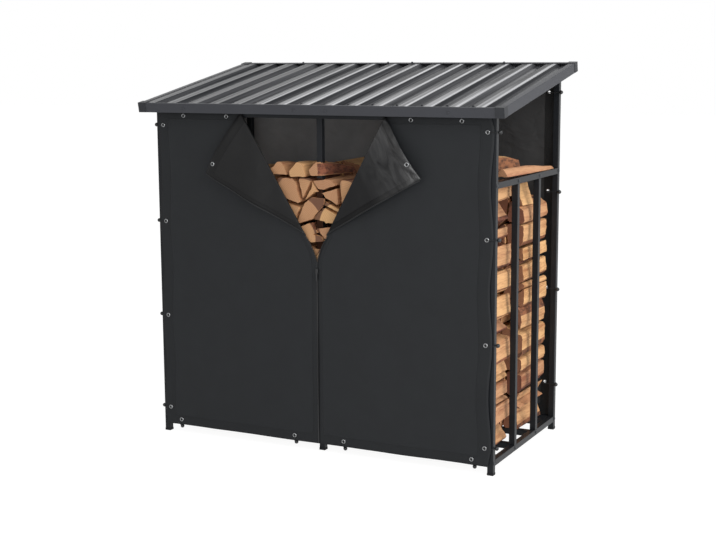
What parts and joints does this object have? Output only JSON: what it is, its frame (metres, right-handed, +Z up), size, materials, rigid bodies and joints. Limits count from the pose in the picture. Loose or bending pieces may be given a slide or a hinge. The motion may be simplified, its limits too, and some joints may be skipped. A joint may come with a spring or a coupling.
{
  "type": "log store",
  "caption": "Free-standing firewood store with a square-tube frame, a sloping ribbed steel roof, zipped front curtains folded open at the top, a tied rear cover and stacked split logs.",
  "frame": {"origin": "ground under the middle of the roof outline", "axes": "+X to the right along the front, +Y to the rear, +Z up"},
  "size_m": [1.655, 0.89, 1.6077],
  "materials": {
    "frame_steel": "satin powder coat",
    "roof_sheet": "satin coil coat",
    "roof_trim": "satin coil coat",
    "cap_plastic": "moulded",
    "foot_plastic": "moulded",
    "tarpaulin": "coated woven cloth",
    "ties": "braided elastic and moulded ball",
    "firewood": "split and sawn"
  },
  "bodies": {
    "root": {"front_left_post": "frame_steel", "front_right_post": "frame_steel", "rear_left_post": "frame_steel", "rear_right_post": "frame_steel", "front_middle_post": "frame_steel", "rear_middle_post": "frame_steel", "bottom_front_rail": "frame_steel", "bottom_rear_rail": "frame_steel", "bottom_left_rail": "frame_steel", "bottom_right_rail": "frame_steel", "log_bearers": "frame_steel", "top_front_rail": "frame_steel", "top_rear_rail": "frame_steel", "left_rafter": "frame_steel", "right_rafter": "frame_steel", "middle_rafter": "frame_steel", "left_side_rail": "frame_steel", "right_side_rail": "frame_steel", "left_side_bars": "frame_steel", "right_side_bars": "frame_steel", "left_roof_sheet": "roof_sheet", "right_roof_sheet": "roof_sheet", "front_fascia": "roof_trim", "rear_fascia": "roof_trim", "left_verge": "roof_trim", "right_verge": "roof_trim", "front_left_curtain": "tarpaulin", "front_right_curtain": "tarpaulin", "rear_cover": "tarpaulin", "front_left_ties": "ties", "front_right_ties": "ties", "rear_left_ties": "ties", "rear_right_ties": "ties", "front_left_logs": "firewood", "front_right_logs": "firewood", "rear_left_logs": "firewood", "rear_right_logs": "firewood", "loose_logs": "firewood", "post_feet": "foot_plastic", "roof_corner_caps": "cap_plastic"}
  },
  "joints": []
}
